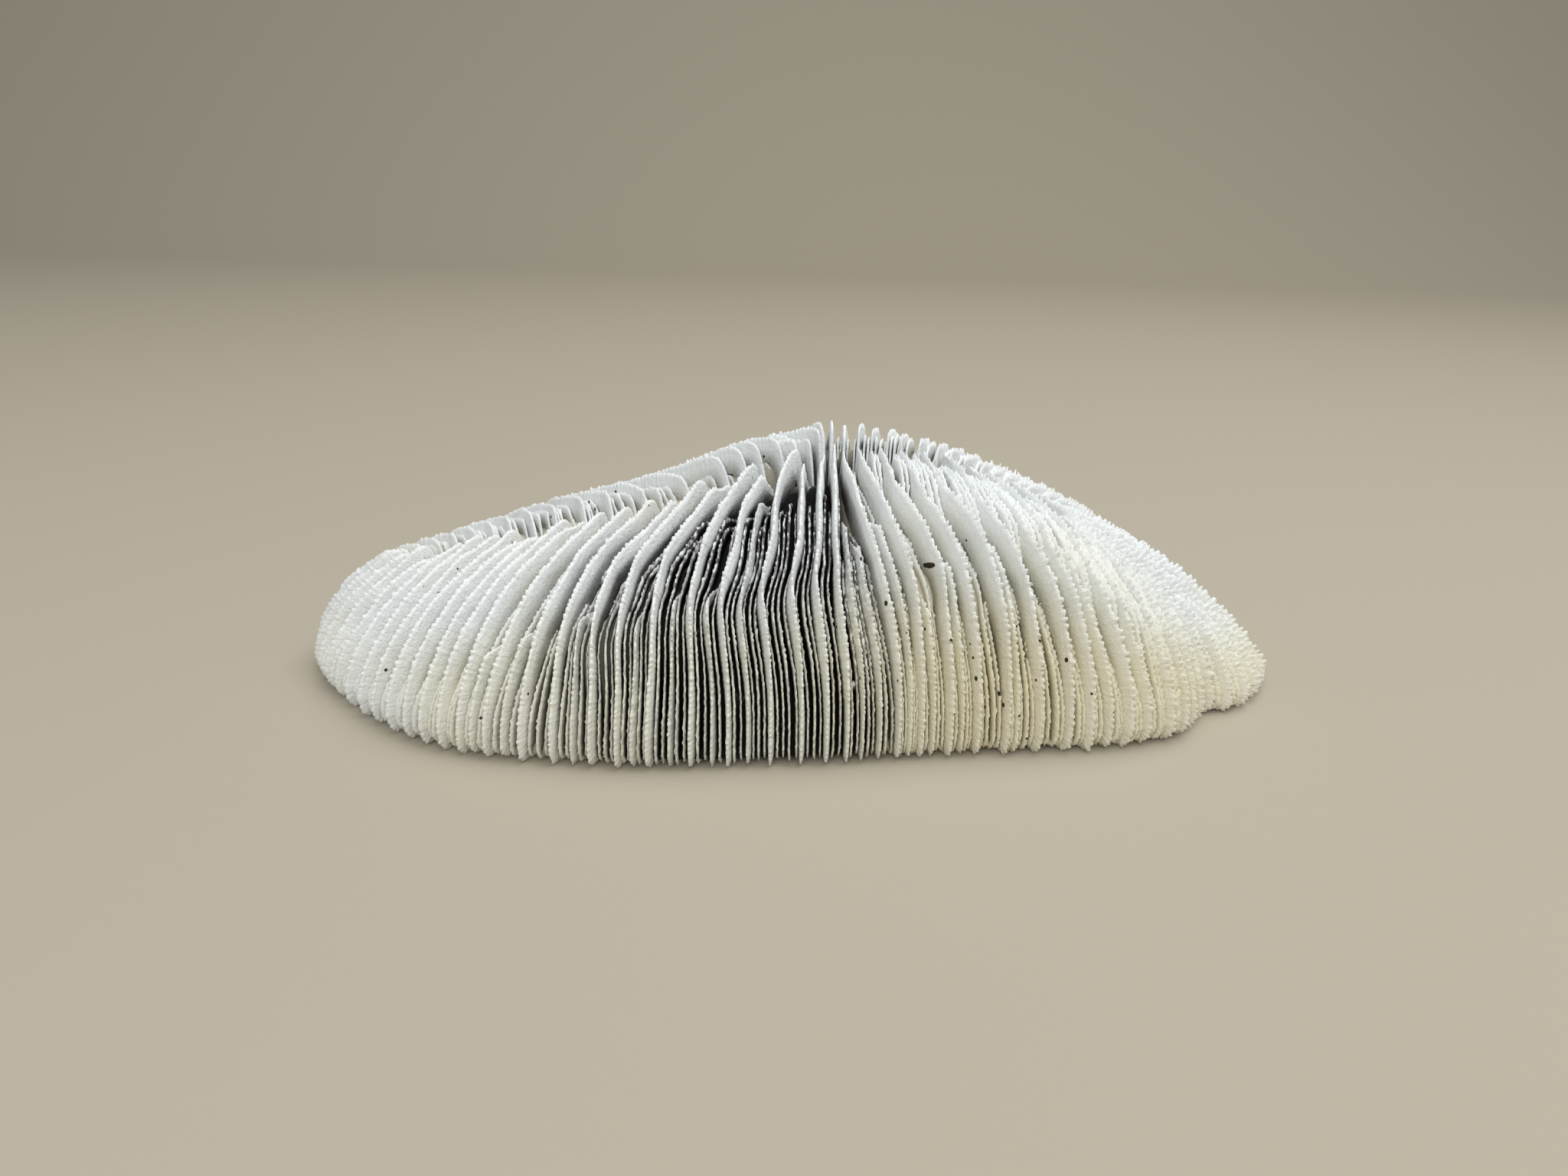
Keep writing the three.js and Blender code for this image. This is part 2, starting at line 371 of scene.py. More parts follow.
# How far from the furrow all orders stand equally tall, by how far right or left of the middle a plate ends.
EVEN_RIGHT = ([8.0, 27.0, 35.0, 42.0, 50.0, 58.0, 66.0, 75.0], [0.0, 0.28, 0.42, 0.5, 0.6, 0.74, 0.88, 1.15])
EVEN_LEFT = ([33.0, 47.0, 55.0, 63.0, 70.0, 78.0, 85.0], [0.0, 0.2, 0.32, 0.48, 0.72, 0.9, 1.15])
EVEN_EDGE = 0.12
EVEN_BACK_BEGINS = (-6.0, 10.0)


def evenness(rim, share):
    """1 where the orders stand equally tall, at the back and on the right shoulder, 0 where they differ."""
    places, shares = EVEN_RIGHT if rim[0] > 0 else EVEN_LEFT
    limit = np.interp(abs(rim[0]), places, shares)
    even = (1 - smoothstep(share, limit - EVEN_EDGE, limit + EVEN_EDGE)) * smoothstep(limit, 0.0, 0.1)
    return even * (1.0 if rim[0] > 0 else smoothstep(rim[1], *EVEN_BACK_BEGINS))


def all_septa(rng):
    """Every plate as its place, its order and the share where it comes up, which thin ones get later."""
    plates = list(FRONT_PLATES)
    place = plates[-1][0]
    stop = plates[0][0] + SEPTA
    while place < stop - LAST_GAP:
        gap = rng.uniform(*TALL_SPACING)
        if gap > WIDE_GAP and rng.random() < LATE_CHANCE:
            plates.append((place + gap * rng.uniform(*LATE_PLACE), rng.uniform(*LATE_START)))
        place += gap
        plates.append((place, 0.0))
    septa = []
    for (place, start), (following, _) in zip(plates, plates[1:] + [(stop, 0.0)]):
        septa.append((place, 1 if start > FIRST_ORDER_STARTS else 0, start))
        gap = following - place
        count = int(min(max(round(gap / MINOR_SPACING) - 1, 0), max(MINORS)))
        for i, order in enumerate(MINORS.get(count, [])):
            here = place + gap * (i + 1) / (count + 1) + rng.uniform(-MINOR_SPREAD, MINOR_SPREAD)
            septa.append((here, order, None))
    return septa


# Where a thin plate may come up: the room it needs to each side and the earliest share, in front, by its
# order, and at the back. Where the orders stand equally tall, it may come up at once.
START_SHARES = np.linspace(0.04, 0.9, 36)
ROOM_FRONT = {2: 0.5, 3: 0.66}
FIRST_FRONT = {2: 0.3, 3: 0.36}
ROOM_BACK = 0.4
FIRST_BACK = 0.08
FIRST_EVEN = 0.04
START_SPREAD = 0.07


def thin_start(place, order, rng):
    """Where a thin plate comes up: where it has room, and in front not before about a third of the way."""
    before, after = place - 0.5, place + 0.5
    near_at, _, near_plan, _, _ = path(before + bend(before, START_SHARES), START_SHARES)
    _, _, far_plan, _, _ = path(after + bend(after, START_SHARES), START_SHARES)
    across, out = far_plan - near_plan, near_at["out"]
    room = np.abs(across[:, 1] * out[:, 0] - across[:, 0] * out[:, 1])
    rim = septa_at([place])["rim"][0]
    needed, first = (ROOM_FRONT[order], FIRST_FRONT[order]) if rim[1] < 0 else (ROOM_BACK, FIRST_BACK)
    enough = np.nonzero(room > needed)[0]
    share = START_SHARES[enough[0]] if len(enough) else START_SHARES[-1]
    return max(share, mix(first, FIRST_EVEN, evenness(rim, 0.05))) + rng.uniform(0.0, START_SPREAD)


class Builder:
    """Collects points, faces and painted values for one mesh."""

    def __init__(self, name):
        self.name = name
        self.points, self.faces, self.values = [], [], {}
        self.count = 0

    def add(self, points, faces, **values):
        self.points.append(points)
        self.faces.extend([[corner + self.count for corner in face] for face in faces])
        for key, value in values.items():
            self.values.setdefault(key, []).append(np.broadcast_to(value, len(points)))
        self.count += len(points)

    def finish(self, material, crease):
        mesh = bpy.data.meshes.new(self.name)
        mesh.from_pydata(np.concatenate(self.points) * MM, [], self.faces)
        for key, parts in self.values.items():
            layer = mesh.attributes.new(key, "FLOAT", "POINT")
            layer.data.foreach_set("value", np.concatenate(parts).astype(np.float32))
        mesh.polygons.foreach_set("use_smooth", np.ones(len(mesh.polygons), bool))
        mesh.set_sharp_from_angle(angle=math.radians(crease))
        mesh.materials.append(material)
        mesh.update()
        thing = bpy.data.objects.new(self.name, mesh)
        bpy.context.scene.collection.objects.link(thing)
        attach(thing, "root")
        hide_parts("mushroom_coral")


# From the outline's own middle to the middle of the CAD part's box.
low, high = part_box("mushroom_coral")
CENTRE = (RIM_DENSE.max(0) + RIM_DENSE.min(0)) / 2
BOX_CENTRE = [(low[i] + high[i]) / 2 / MM for i in (0, 1)]
SHIFT = np.array([BOX_CENTRE[0] - CENTRE[0], BOX_CENTRE[1] - CENTRE[1], low[2] / MM])


def tube_faces(steps, around):
    """Faces of a closed tube of steps rings with so many points around, with its two ends closed."""
    ring = np.arange(around)
    following = np.roll(ring, -1)
    starts = (np.arange(steps - 1) * around)[:, None]
    quads = [starts + ring, starts + around + ring, starts + around + following, starts + following]
    faces = np.stack(quads, -1).reshape(-1, 4).tolist()
    for base, flip in ((0, True), ((steps - 1) * around, False)):
        for i in range(around // 2 - 1):
            face = [base + i, base + around - 1 - i, base + around - 2 - i, base + i + 1]
            faces.append(face[::-1] if flip else face)
    return faces


# How teeth differ: their spacing from plate to plate and from tooth to tooth, their heights, how far a whole
# tooth is lifted, and how far each ring is. No plate has fewer teeth than this.
PITCHES = (0.92, 1.1)
TOOTH_SHAKE = 0.25
TOOTH_SIZES = (0.45, 1.3)
TOOTH_LIFT = 0.3
RING_LIFT = 0.12
FEWEST_TEETH = 6


def teeth_along(begin, end, pitch, rings, rng):
    """Where a plate's rings of points lie along its line, and how far each is up its tooth, from 0 to 1."""
    teeth = max(int(round((end - begin) / (pitch * rng.uniform(*PITCHES)))), FEWEST_TEETH)
    places, heights = TOOTH_SHAPES[rings]
    edges = np.arange(teeth + 1) + rng.uniform(-TOOTH_SHAKE, TOOTH_SHAKE, teeth + 1) + rng.uniform(-0.5, 0.5)
    edges = begin + (end - begin) * np.clip(edges / teeth, 0, 1)
    edges[0], edges[-1] = begin, end
    arc = (edges[:-1, None] + np.diff(edges)[:, None] * np.array(places)).ravel()
    tooth = rng.uniform(*TOOTH_SIZES, teeth)[:, None] * np.array(heights)
    tooth = tooth + rng.uniform(-TOOTH_LIFT, TOOTH_LIFT, teeth)[:, None]
    tooth = (tooth + rng.uniform(-RING_LIFT, RING_LIFT, tooth.shape)).ravel()
    return np.append(arc, end), np.append(tooth, 0.0)


SWAY_CELLS = 40
HEIGHT_CELLS = 30
OWN_LINES = 500
SHARED_SWAY = 0.9
OWN_HEIGHT = 0.4
SHARED_HEIGHT = 0.3
OWN_THICKNESS = 0.16
# The crests' lobes, of which one is picked for each plate of the first order.
LOBES = [-1.4, 0.9, 0.9]
LOBE_SPREAD = 0.4
# Thin plates lie a little higher in the gaps at the middle, and lower than their order's depth beside it.
THIN_DEPTHS = (0.85, 1.4)
THIN_DEPTHS_CENTRE = -5.0
THIN_DEPTHS_OVER = (14.0, 32.0)
# Where orders stand equally tall, they keep this share of their depth, left and right.
EVEN_DEPTH_LEFT = 0.3
EVEN_DEPTH_RIGHT = 0.12
# Tips stand no higher than this above the envelope, and nothing on the flank hangs lower than this.
HIGHEST_TIP = 0.7
NOSE_SPREAD = 0.5
LOWEST_FLANK = 0.6
# The middle of a tooth, as a share of its height, lies on the plate's edge.
TOOTH_MIDDLE = 0.45
# From tip to base: how much of a plate's sideways wobble each level of points takes.
WOBBLE = 0.08
WOBBLE_LEVELS = (1.0, 0.35, 0.1, 0.0)
# How deep below a plate's edge its painted shade is full, as dark as the gaps: tall plates, more in the grimy
# gaps, and thin ones.
TALL_DARK_DEPTH = 4.5
GRIMY_EXTRA_DEPTH = 2.0
THIN_DARK_DEPTH = 1.7
# Each plate reads the streaks of the material at its own place.
STREAK_STEP = 60.0


# Where black grime lies in the gaps, together with painted shade where they are deep, along the coral, and how
# much of it at the back. It begins over these shares.
GRIME_SPAN = (-62.0, -26.0, 8.0, 24.0)
BACK_GRIME = 0.2
GRIME_BEGINS = (0.22, 0.42)
# The dust on a plate fades by this much over these distances from where it comes up.
DUST_LOSS = 0.65
DUST_FADES = (6.0, 32.0)


def grime_and_shade_window(rim_x, front):
    """How much black grime and painted gap shade lies in the gaps round a plate: most at the middle of the
    front.
    """
    window = hill(rim_x, *GRIME_SPAN)
    return float(window if front else BACK_GRIME * window)


def warmth(rim_x, share, order):
    """How creamy a plate is: more towards the rim, at the right and on thin plates, and least at the top."""
    right = smoothstep(rim_x, 0.0, 30.0) * (1 - 0.55 * smoothstep(rim_x, 62.0, 90.0))
    left_tip = smoothstep(-rim_x, 55.0, 85.0)
    low = smoothstep(share, 0.72, 1.0) * (0.4 + 0.12 * right) * (1 - 0.65 * left_tip)
    flank = 0.14 * right * smoothstep(share, 0.15, 0.6)
    return low + flank + ORDERS[order]["cream"] * smoothstep(share, 0.4, 0.95) * (1 - 0.6 * left_tip)


class Plate:
    """One septum: where it stands and what follows from that, its line, and its rings of points along it."""

    def __init__(self, place, order, start, noises, rng):
        self.place, self.order, self.start, self.noises = place, order, start, noises
        self.kind, self.tall = ORDERS[order], order < 2
        self.index = int(rng.integers(OWN_LINES))
        ends = septa_at([place])
        self.rim, self.reach = ends["rim"][0], ends["reach"][0]
        self.rim_x, self.front = self.rim[0], self.rim[1] < 0
        self.window = grime_and_shade_window(self.rim_x, self.front)
        self.line = self.make_line(rng)
        flank = slice(0, self.line["flank"])
        first_r = max(start * self.reach, FOOT_START)
        self.begin = np.interp(first_r, self.line["r"][flank], self.line["arc"][flank])
        self.place_rings(rng)

    def make_line(self, rng):
        lobe = 0.0
        if self.order == 0:
            own = rng.choice(LOBES) + rng.uniform(-LOBE_SPREAD, LOBE_SPREAD)
            lobe = mix(own, 0.0, float(evenness(self.rim, 0.15)))
        return line_of(self.place, self.sway, self.kind["nose"] + rng.uniform(0.0, NOSE_SPREAD), lobe)

    def sway(self, share):
        """Its waves to the sides, in places: those that it shares with its neighbours, and its own."""
        fade = smoothstep(share * self.reach, 2.0, 14.0) * mix(1.0, 0.5, share ** 2)
        shared = SHARED_SWAY * self.noises["sway"].field(self.place, share)
        return (shared + self.kind["own"] * self.noises["own_sway"].line(self.index, share)) * fade

    def place_rings(self, rng):
        pitch = self.kind["pitch"] * (mix(1.0, 0.85, self.window) if self.tall else 1.0)
        self.arc, self.tooth = teeth_along(self.begin, self.line["arc"][-1], pitch, self.kind["rings"], rng)
        self.at = read(self.line, self.arc)
        size = np.hypot(self.at["nr"], self.at["nz"])
        self.at["nr"], self.at["nz"] = self.at["nr"] / size, self.at["nz"] / size
        self.under = self.arc > self.line["rim_arc"]
        self.rib = smoothstep(self.arc, self.line["nose_arc"] - 1.0, self.line["nose_arc"] + 1.5)
        self.even = evenness(self.rim, self.at["share"])
        # 0 on the inner wall of the furrow, where the rings stand close together in plan.
        self.steady = smoothstep(self.at["r"], 1.5, 7.0)

    def edge_drop(self):
        """How far its edge lies below the envelope."""
        share = self.at["share"]
        hidden = 1.0
        if not self.tall:
            hidden = mix(*THIN_DEPTHS, smoothstep(abs(self.rim_x - THIN_DEPTHS_CENTRE), *THIN_DEPTHS_OVER))
        level = EVEN_DEPTH_LEFT if self.rim_x < 0 else EVEN_DEPTH_RIGHT
        drop = mix(self.kind["drop"] * hidden * mix(1.0, level, self.even), self.kind["rim_drop"], share ** 9)
        own = self.noises["own_height"].line(self.index, share)
        drop = drop + OWN_HEIGHT * own * (1 - 0.6 * share)
        drop = drop + SHARED_HEIGHT * self.noises["height"].field(self.place, share)
        if self.start > 0:
            risen = smoothstep(self.arc, self.begin, self.begin + RISE)
            drop = mix(np.maximum(self.at["depth"], drop), drop, risen)
        settled = smoothstep(self.arc, self.line["rim_arc"], self.line["nose_arc"])
        return np.where(self.under, mix(np.maximum(drop, 0), 0.0, settled), drop)

    def calmness(self):
        """The share of their height that its teeth have: little in the furrow, and most beyond the crest."""
        r = self.at["r"]
        calm = mix(0.12, 0.6, smoothstep(r, 3.5, 6.0)) * mix(1.0, 1 / 0.6, smoothstep(r, 6.0, 12.0))
        return np.maximum(calm, self.even * smoothstep(r, 2.5, 5.0))

    def tooth_height(self, calm):
        """The height of its teeth, which is most on the right and least at the left tip and at the rim."""
        height = self.kind["tooth"] * mix(1.0, 0.85 if self.rim_x < 0 else 1.1, self.even) * calm
        height = height * mix(1.0, 0.4, self.rib) * mix(1.0, 1.15, smoothstep(self.rim_x, 10.0, 30.0))
        if self.rim_x < -25:
            height = height * mix(0.8, 0.55, smoothstep(-self.rim_x, 50.0, 75.0))
        return height * mix(1.0, 0.6, smoothstep(self.at["share"], 0.93, 1.0))

    def thickness(self):
        even_thick = (1.25 if self.tall else 0.7) if self.rim_x < 0 else 0.76
        thick = mix(self.kind["thick"], even_thick, 0.8 * self.even)
        own = self.noises["own_thick"].line(self.index, self.at["share"])
        thick = thick * (1 + OWN_THICKNESS * own) * mix(1.0, 0.88, self.at["share"] ** 2)
        return thick * mix(1.0, 0.85, self.rib) * mix(0.6, 1.0, smoothstep(self.at["r"], 3.0, 13.0))

    def section(self, drop):
        """How deep the levels of points on its sides lie, and how far from its middle, from tip to base.

        A tall plate widens down to the wall like a wedge, from a thin edge; a thin one has upright sides.
        """
        calm, thick = self.calmness(), self.thickness()
        height = self.tooth_height(calm)
        tip = np.maximum(drop + (TOOTH_MIDDLE - self.tooth) * height, -HIGHEST_TIP)
        shoulder = drop + 0.45 + 0.45 * height
        swell = (0.2 if self.tall else 0.1) * (self.tooth - TOOTH_MIDDLE) * (0.4 + 0.6 * calm)
        ridge = 1 + swell * self.steady
        tip_width = mix(0.28, 0.14, np.clip(self.tooth, 0, 1)) * thick
        base = self.at["depth"] + EMBED
        if not self.tall:
            return ([tip, shoulder, np.maximum(base, shoulder + 0.3)],
                    [tip_width, 0.5 * thick * ridge, 0.58 * thick])
        wedge = (1.0 if self.front else 0.7) * (0.75 if self.rim_x > 0 else 1.0)
        base_width = mix(0.56, mix(1.0, 0.74, self.window), wedge * (1 - self.under))
        return ([tip, shoulder, shoulder + 1.5, np.maximum(base, shoulder + 1.8)],
                [tip_width * (1 - 0.3 * wedge), mix(0.44, 0.3, wedge) * thick * ridge,
                 mix(0.5, 0.55, wedge) * thick * mix(ridge, 1.0, 0.4), base_width * thick])

    def wobble(self, rng):
        """Its edge's small steps from side to side."""
        steps = rng.uniform(-WOBBLE, WOBBLE, len(self.arc)) * (0.4 + np.clip(self.tooth, 0, 1))
        return steps * mix(1.0, 1.5, self.even) * (1.0 if self.tall else 1.5) * mix(0.1, 1.0, self.steady)

    def build(self, rng, builder):
        at = self.at
        drop = self.edge_drop()
        depths, widths = self.section(drop)
        wobble = self.wobble(rng)
        # Painted shade and grime in the pit at the mouth.
        dark = pit(at["x"], at["r"] + PIT_PLATE_INSET)
        dark_depth = TALL_DARK_DEPTH + GRIMY_EXTRA_DEPTH * self.window if self.tall else THIN_DARK_DEPTH
        levels = range(len(depths))
        loops, deep, sunken = [], [], []
        for side, i in [(1, i) for i in levels] + [(-1, i) for i in reversed(levels)]:
            z = at["z"] - at["nz"] * depths[i]
            z = np.where(self.under, z, np.maximum(z, LOWEST_FLANK))
            lateral = side * widths[i] + wobble * WOBBLE_LEVELS[i]
            loops.append(np.stack([
                at["x"] - at["tx"] * at["nr"] * depths[i] - at["ty"] * lateral,
                at["y"] - at["ty"] * at["nr"] * depths[i] + at["tx"] * lateral,
                np.maximum(z, 0.0)], -1))
            sunken.append(depths[i] - np.maximum(drop, 0.0))
            # Painted shade: darker the further a point lies below the plate's edge, and full in the pit at the
            # mouth.
            deep.append(np.clip(sunken[-1] / dark_depth + dark, 0, 1))
        around = len(loops)
        emerging = 1 - DUST_LOSS * smoothstep(self.arc - self.begin, *DUST_FADES)
        # Black grime and painted shade: in the gaps at the middle of the front, and in the pit at the mouth.
        grime_and_shade = np.maximum(self.window * smoothstep(at["share"], *GRIME_BEGINS), dark)
        builder.add(
            np.stack(loops, 1).reshape(-1, 3) + SHIFT,
            tube_faces(len(self.arc), around),
            deep=np.stack(deep, 1).ravel(),
            warm=np.repeat(warmth(self.rim_x, at["share"], self.order), around),
            dust=np.repeat(self.window * emerging * self.kind["dust"], around),
            mouth=np.repeat(grime_and_shade, around),
            along=np.repeat(self.arc + STREAK_STEP * self.index, around),
            below=np.stack(sunken, 1).ravel())


WALL_PER_SEPTUM = 3
WALL_TOP_ROWS = 26
WALL_LOW_ROWS = 12
VAULT_ROWS = 24
VAULT_CENTRE = 2.0
# The wall's black grime and painted shade begin over its first rows of points, and end at this row, under the
# rim.
GRIME_ROWS = 6
WALL_CREAM = 0.45
WALL_BELOW = 9.0
# How low the ribs under the septa are, and how far from the middle of the vault they begin.
RIB_LOW = 0.35
RIB_SPINES = 0.6
RIBS_BEGIN = (4.0, 16.0)
SPINE_CELLS = 120
SPINES_PER_MM = 1.6


def wall_column(c, noises):
    """One line of the wall, from the furrow round the rim to the middle of the vault, its pit, painted dark as
    shade and grime, and its painted crevice shade.
    """
    place = c / WALL_PER_SEPTUM
    line = line_of(place, np.zeros_like)
    at = read(line, np.concatenate([
        np.linspace(0.0, line["rim_arc"], WALL_TOP_ROWS, endpoint=False),
        np.linspace(line["rim_arc"], line["arc"][-1], WALL_LOW_ROWS)]))
    points = np.stack([
        at["x"] - at["tx"] * at["nr"] * at["depth"],
        at["y"] - at["ty"] * at["nr"] * at["depth"],
        at["z"] - at["nz"] * at["depth"]], -1)
    end = points[-1, :2]
    ends = septa_at([place])
    middle = ends["foot"][0]
    inset = np.linalg.norm(end - middle)
    centre = VAULT_CENTRE / inset
    share = np.cos(np.linspace(0, math.pi / 2, VAULT_ROWS + 1)[1:]) * (1 - centre) + centre
    roof = VAULT * (ends["top"][0] / HEIGHT) * np.sqrt(np.clip(1 - share ** 2, 0, 1))
    roof = np.maximum(roof, points[-1, 2])
    ridge = 1.0 if c % WALL_PER_SEPTUM == 0 else 0.0
    vault_r = share * inset
    spines = np.clip(noises["spines"].cells(c, vault_r * SPINES_PER_MM + 1), 0, 1)
    rib = ridge * (RIB_LOW + RIB_SPINES * spines) * smoothstep(vault_r, *RIBS_BEGIN)
    vault = np.concatenate([middle + (end - middle) * share[:, None], (roof - rib)[:, None]], 1)
    dark = np.concatenate([pit(points[:, 0], at["r"] + PIT_WALL_INSET), np.zeros(VAULT_ROWS)])
    # Painted shade: full crevice colour on the wall under the plates, less on the underside and least on its
    # ribs.
    painted_wall_shade = np.concatenate([np.ones(len(points)), np.full(VAULT_ROWS, 0.25 - 0.2 * ridge)])
    return np.concatenate([points, vault]), dark, painted_wall_shade


def skin_faces(columns, length):
    """Faces of a closed skin of columns, with a strip over each end of the columns from front to back."""
    index = np.arange(columns * length).reshape(columns, length)
    following = np.roll(index, -1, axis=0)
    quads = np.stack([index[:, :-1], following[:, :-1], following[:, 1:], index[:, 1:]], -1)
    faces = quads.reshape(-1, 4).tolist()
    for row in (0, length - 1):
        for c in range(columns // 2):
            quad = [index[c, row], index[c + 1, row], index[(columns - c - 1) % columns, row],
                    index[(columns - c) % columns, row]]
            corners = [int(q) for i, q in enumerate(quad) if q not in quad[:i]]
            if len(corners) > 2:
                faces.append(corners[::-1] if row == 0 else corners)
    return faces


def wall(noises, builder):
    """The thin wall under the septa and the vaulted, ribbed underside, as one closed skin."""
    columns = SEPTA * WALL_PER_SEPTUM
    grid, dark, painted_wall_shade = (np.stack(parts) for parts in zip(*(wall_column(c, noises) for c in range(columns))))
    length = grid.shape[1]
    rims = septa_at(np.arange(columns) / WALL_PER_SEPTUM)["rim"]
    grime_and_shade = np.array([grime_and_shade_window(x, y < 0) for x, y in rims])
    # The wall's black grime and painted shade, near the furrow at the middle of the front and in the pit.
    window = grime_and_shade[:, None] * np.clip(np.arange(length) / GRIME_ROWS, 0, 1)
    window = np.maximum(window, dark)
    window[:, WALL_TOP_ROWS + GRIME_ROWS:] = 0.0
    builder.add(grid.reshape(-1, 3) + SHIFT, skin_faces(columns, length), deep=painted_wall_shade.ravel(), warm=WALL_CREAM,
                dust=0.0, mouth=window.ravel(), along=0.0, below=WALL_BELOW)


# A loose white chip caught between two plates: its place, its half length, half width and half thickness, its
# corners, how much smaller its outer side is, and how far it leans back against the plates.
CHIP = (10.7, -35.4, 13.7)
CHIP_SIZE = (0.85, 1.25, 0.35)
CHIP_CORNERS = 7
CHIP_TAPER = 0.85
CHIP_LEAN = 0.5


def chip(rng, builder):
    """A small flake with two ragged sides, whose thin axis points forward and up."""
    turn = np.linspace(0, 2 * math.pi, CHIP_CORNERS, endpoint=False)
    edge = np.stack([np.cos(turn), np.sin(turn)], 1) * rng.uniform(0.7, 1.05, CHIP_CORNERS)[:, None]
    sides = [np.column_stack([edge * size, np.full(CHIP_CORNERS, level)])
             for size, level in ((CHIP_TAPER, 1.0), (1.0, -1.0))]
    points = np.concatenate(sides) * np.array(CHIP_SIZE)
    points = points[:, [0, 2, 1]] @ Matrix.Rotation(CHIP_LEAN, 3, "X").transposed()
    faces = [[i, CHIP_CORNERS + i, CHIP_CORNERS + (i + 1) % CHIP_CORNERS, (i + 1) % CHIP_CORNERS]
             for i in range(CHIP_CORNERS)]
    faces += [list(range(CHIP_CORNERS)), list(range(2 * CHIP_CORNERS - 1, CHIP_CORNERS - 1, -1))]
    builder.add(points + CHIP, faces, deep=0.0, warm=0.0, dust=0.0, mouth=0.0, along=0.0, below=0.0)


# The material's colours: white at the top, creamy low down and on the thin plates, a brownish painted shade in
# the crevices, dust on the thin plates, black grime with painted shade deep in the gaps at the middle of the
# front, and dark specks.
WHITE = (0.83, 0.85, 0.84, 1)
CREAM = (0.79, 0.73, 0.52, 1)
CREVICE_SHADE = (0.36, 0.31, 0.20, 1)
DUST = (0.06, 0.054, 0.043, 1)
GRIME_AND_SHADE = (0.007, 0.0065, 0.006, 1)
SPECK = (0.045, 0.030, 0.018, 1)

# Specks of dirt: where they lie in the CAD frame, and their radii.
SPECKS = [
    (11.5, -27.1, 34.3, 0.32), (4.6, -24.5, 38.1, 0.38), (23.1, -23.5, 32.1, 0.45), (23.4, -23.9, 32.25, 0.5),
    (23.7, -24.3, 32.4, 0.55), (24.05, -24.8, 32.65, 0.5), (24.4, -25.3, 32.9, 0.35),
    (19.7, -27.1, 35.1, 0.24), (15.8, -31.6, 27.8, 0.37), (7.4, -33.5, 23.9, 0.24), (23.0, -30.9, 22.9, 0.24),
    (19.6, -33.0, 23.0, 0.24), (27.3, -33.6, 22.0, 0.4), (31.1, -31.1, 20.4, 0.27), (31.6, -32.3, 18.3, 0.3),
    (32.2, -33.6, 14.9, 0.35), (30.8, -19.4, 35.7, 0.25), (39.8, -27.2, 22.4, 0.25),
    (43.3, -31.3, 21.6, 0.36), (48.5, -30.5, 17.6, 0.39), (11.6, -36.4, 15.6, 0.29),
    (36.7, -32.8, 11.8, 0.36), (37.5, -33.0, 9.6, 0.36), (34.4, -33.1, 9.2, 0.25), (40.4, -34.3, 8.2, 0.33),
    (28.5, -36.7, 9.3, 0.27), (42.2, -33.8, 3.5, 0.25), (43.1, -32.0, 14.2, 0.28), (18.2, -36.2, 15.3, 0.24),
    (53.4, -31.7, 11.7, 0.28), (-36.9, 10.4, 34.4, 0.32), (-42.0, 7.8, 32.8, 0.32), (-40.4, 5.6, 32.0, 0.38),
    (-27.9, -7.4, 37.0, 0.26), (-6.6, 5.9, 43.8, 0.27), (-48.9, 3.5, 30.8, 0.31), (-53.6, -39.9, 7.7, 0.27),
    (-45.2, -39.6, 12.4, 0.24), (-73.8, -27.4, 10.5, 0.26), (-66.0, -18.0, 22.2, 0.24),
    (-63.5, -13.3, 25.3, 0.24),
]


class Nodes:
    """Makes the nodes of one material and links them."""

    def __init__(self, material):
        self.tree = material.node_tree
        self.place = self.make("ShaderNodeTexCoord").outputs["Object"]

    def make(self, kind, **settings):
        made = self.tree.nodes.new(kind)
        for key, value in settings.items():
            setattr(made, key, value)
        return made

    def put(self, socket, value):
        if isinstance(value, bpy.types.NodeSocket):
            self.tree.links.new(value, socket)
        else:
            socket.default_value = value

    def attribute(self, name):
        return self.make("ShaderNodeAttribute", attribute_name=name).outputs["Fac"]

    def math(self, operation, a, b, clamp=False):
        made = self.make("ShaderNodeMath", operation=operation, use_clamp=clamp)
        self.put(made.inputs[0], a)
        self.put(made.inputs[1], b)
        return made.outputs[0]

    def ramp(self, value, low_value, high_value):
        """0 below the low value, 1 above the high one, and smooth between."""
        made = self.make("ShaderNodeMapRange", interpolation_type="SMOOTHSTEP")
        self.put(made.inputs["Value"], value)
        self.put(made.inputs["From Min"], low_value)
        self.put(made.inputs["From Max"], high_value)
        return made.outputs["Result"]

    def blend(self, a, b, factor):
        made = self.make("ShaderNodeMix", data_type="RGBA")
        for socket, value in ((made.inputs[6], a), (made.inputs[7], b), (made.inputs[0], factor)):
            self.put(socket, value)
        return made.outputs[2]

    def noise(self, scale, detail, vector=None):
        made = self.make("ShaderNodeTexNoise")
        self.put(made.inputs["Vector"], vector or self.place)
        self.put(made.inputs["Scale"], scale)
        self.put(made.inputs["Detail"], detail)
        return made.outputs["Fac"]


